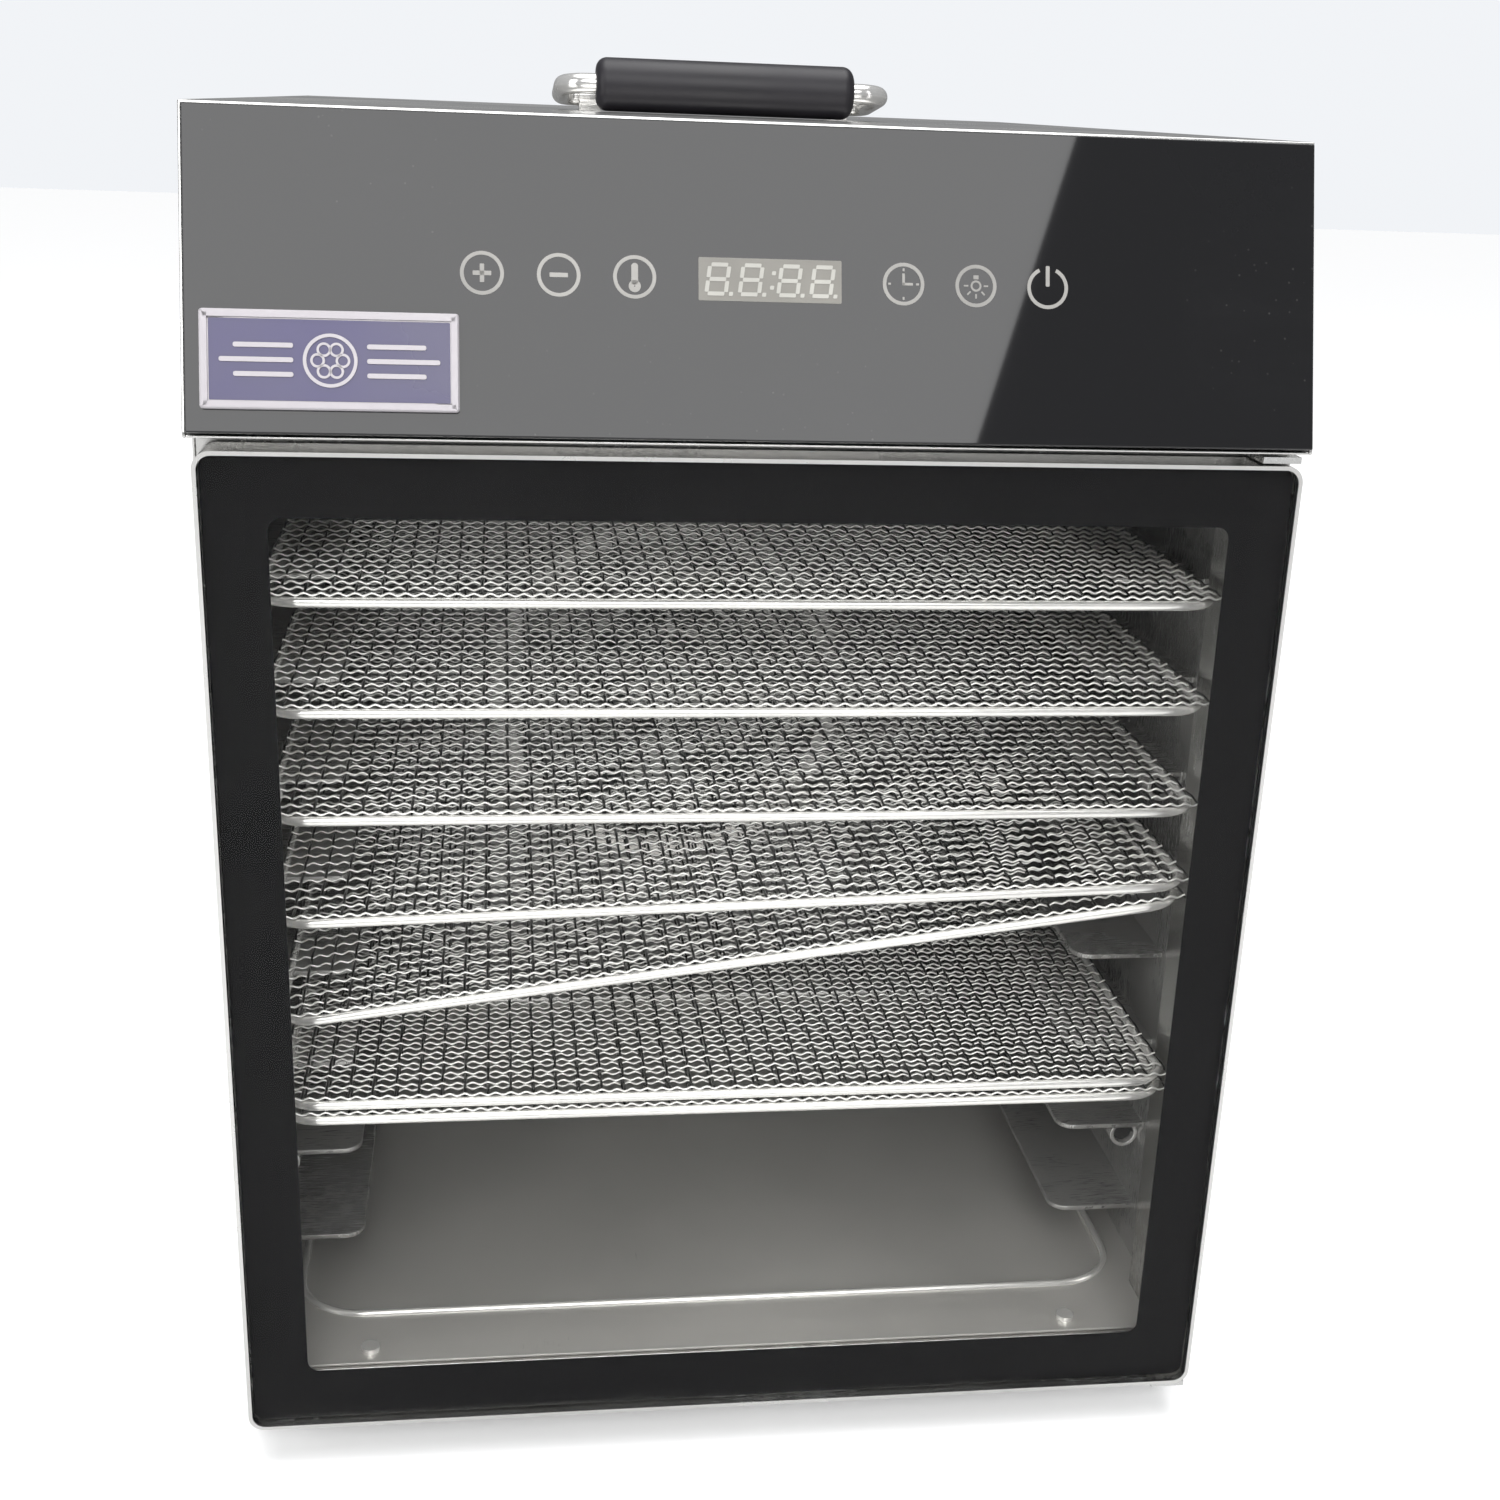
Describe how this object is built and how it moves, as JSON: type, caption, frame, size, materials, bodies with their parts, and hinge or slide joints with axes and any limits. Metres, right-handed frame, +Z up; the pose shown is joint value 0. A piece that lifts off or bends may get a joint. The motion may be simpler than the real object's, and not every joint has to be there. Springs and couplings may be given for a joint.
{
  "type": "food dehydrator",
  "caption": "Cabinet food dehydrator: steel box with a glazed hinged door, wire mesh trays on side ledges, a sloping touch-control front and a folding handle on top.",
  "frame": {"origin": "centre of the bounding box at the floor", "axes": "+X to the right, the door faces -Y, +Z up"},
  "size_m": [0.344, 0.45, 0.4718],
  "materials": {
    "polished_steel": "polished sheet",
    "inner_steel": "mill finish sheet",
    "tube_steel": "plain",
    "wire_chrome": "bright wire",
    "fan_aluminium": "plain",
    "motor_paint": "satin",
    "heater_steel": "heat darkened",
    "black_plastic": "moulded",
    "white_plastic": "moulded",
    "clear_glass": "clear",
    "panel_glass": "back painted glass, gloss black",
    "board": "coated",
    "display": "smoked window",
    "badge": "enamel in a pale rim",
    "seal_rubber": "soft",
    "magnet": "plated",
    "grip_plastic": "gloss black",
    "foot_rubber": "matt"
  },
  "bodies": {
    "cabinet": {"outer_wrap": "polished_steel", "base_plate": "inner_steel", "rear_cover": "inner_steel", "rear_bulkhead": "inner_steel", "front_frame": "polished_steel", "chamber_wall_left": "inner_steel", "chamber_wall_right": "inner_steel", "chamber_ceiling": "inner_steel", "chamber_floor": "inner_steel", "rear_baffle": "inner_steel", "rack_tubes": "tube_steel", "fan_guard": "wire_chrome", "fan_motor": "motor_paint", "heater_element": "heater_steel", "heater_clips": "inner_steel", "thermal_cutout": "black_plastic", "temperature_probe": "tube_steel", "lamp_lens": "clear_glass", "lamp_board": "board", "control_housing": "black_plastic", "control_glass": "panel_glass", "touch_board": "board", "display_module": "display", "power_board": "board", "board_standoffs": "white_plastic", "power_transformer": "motor_paint", "power_relay": "black_plastic", "badge_plate": "badge", "door_magnets": "magnet", "hinge_bracket_upper": "tube_steel", "hinge_bracket_lower": "tube_steel", "hinge_pins": "tube_steel", "handle_brackets": "wire_chrome", "rubber_feet": "foot_rubber", "floor_screws": "tube_steel", "rear_screws": "tube_steel", "handle_rivets": "tube_steel", "cord_gland": "black_plastic"},
    "door": {"door_trim": "polished_steel", "door_glass": "clear_glass", "door_gasket": "seal_rubber", "door_strikers": "tube_steel", "door_bushes": "white_plastic"},
    "handle": {"handle_bail": "wire_chrome", "handle_grip": "grip_plastic"},
    "fan": {"fan_rotor": "fan_aluminium"},
    "tray_1": {"tray_1_frame": "wire_chrome", "tray_1_mesh": "wire_chrome"},
    "tray_2": {"tray_2_frame": "wire_chrome", "tray_2_mesh": "wire_chrome"},
    "tray_3": {"tray_3_frame": "wire_chrome", "tray_3_mesh": "wire_chrome"},
    "tray_4": {"tray_4_frame": "wire_chrome", "tray_4_mesh": "wire_chrome"},
    "tray_5": {"tray_5_frame": "wire_chrome", "tray_5_mesh": "wire_chrome"},
    "tray_6": {"tray_6_frame": "wire_chrome", "tray_6_mesh": "wire_chrome"},
    "tray_7": {"tray_7_frame": "wire_chrome", "tray_7_mesh": "wire_chrome"}
  },
  "joints": [
    {"name": "door_hinge", "type": "hinge", "parent": "cabinet", "child": "door", "pos_m": [0.165, -0.212, 0.186], "axis": [0, 0, 1], "range_deg": [0, 105]},
    {"name": "handle_pivot", "type": "hinge", "parent": "cabinet", "child": "handle", "pos_m": [0, -0.0342, 0.4585], "axis": [-1, 0, 0], "range_deg": [0, 110]},
    {"name": "fan_spin", "type": "hinge", "parent": "cabinet", "child": "fan", "pos_m": [0, 0.12, 0.1845], "axis": [0, 1, 0], "continuous": true},
    {"name": "tray_1_slide", "type": "slide", "parent": "cabinet", "child": "tray_1", "axis": [0, -1, 0], "range_m": [0, 0.012]},
    {"name": "tray_2_slide", "type": "slide", "parent": "cabinet", "child": "tray_2", "axis": [0, -1, 0], "range_m": [0, 0.012]},
    {"name": "tray_3_slide", "type": "slide", "parent": "cabinet", "child": "tray_3", "axis": [0, -1, 0], "range_m": [0, 0.012]},
    {"name": "tray_4_slide", "type": "slide", "parent": "cabinet", "child": "tray_4", "axis": [0, -1, 0], "range_m": [0, 0.012]},
    {"name": "tray_5_slide", "type": "slide", "parent": "cabinet", "child": "tray_5", "axis": [0, -1, 0], "range_m": [0, 0.012]},
    {"name": "tray_6_slide", "type": "slide", "parent": "cabinet", "child": "tray_6", "axis": [0, -1, 0], "range_m": [0, 0.012]},
    {"name": "tray_7_slide", "type": "slide", "parent": "cabinet", "child": "tray_7", "axis": [0, -1, 0], "range_m": [0, 0.012]}
  ]
}
